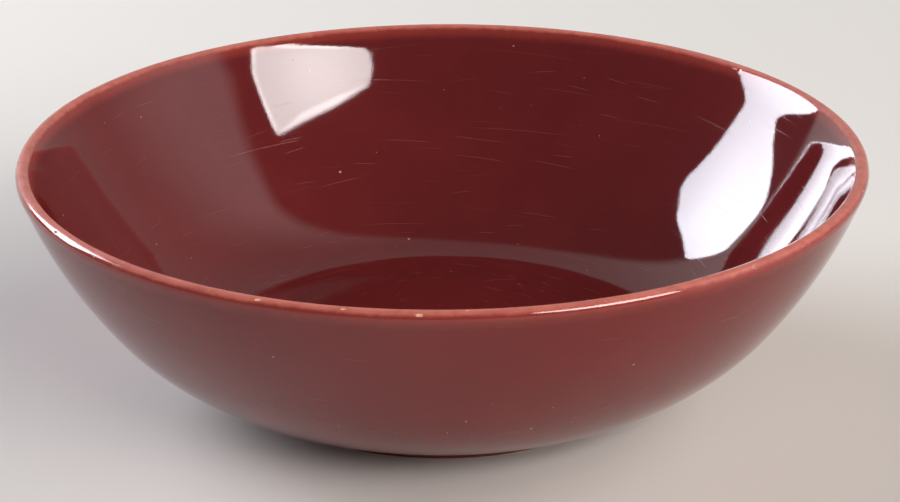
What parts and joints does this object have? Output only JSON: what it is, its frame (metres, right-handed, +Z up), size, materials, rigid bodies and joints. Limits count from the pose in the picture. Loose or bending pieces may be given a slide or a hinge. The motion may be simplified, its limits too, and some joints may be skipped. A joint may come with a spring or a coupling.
{
  "type": "vegetable bowl",
  "caption": "Round glazed ceramic serving bowl with a rounded lip, a curved wall, a flat floor and a low foot ring, for vegetables and other food at table.",
  "frame": {"origin": "centre of the foot ring's standing face, on the surface that the bowl stands on", "axes": "+Z up along the bowl's axis; the bowl is round, so X and Y are two level directions, with the picture taken from -Y"},
  "size_m": [0.23, 0.23, 0.0674],
  "materials": {
    "fired_clay": "matt fired clay",
    "inside_glaze": "gloss oxblood glaze",
    "rim_glaze": "thin gloss glaze, broken to terracotta",
    "outside_glaze": "gloss oxblood glaze"
  },
  "bodies": {
    "root": {"clay_body": "fired_clay", "foot_ring": "fired_clay", "inside_glaze": "inside_glaze", "rim_glaze": "rim_glaze", "outside_glaze": "outside_glaze", "foot_glaze": "outside_glaze", "underside_glaze": "outside_glaze"}
  },
  "joints": []
}
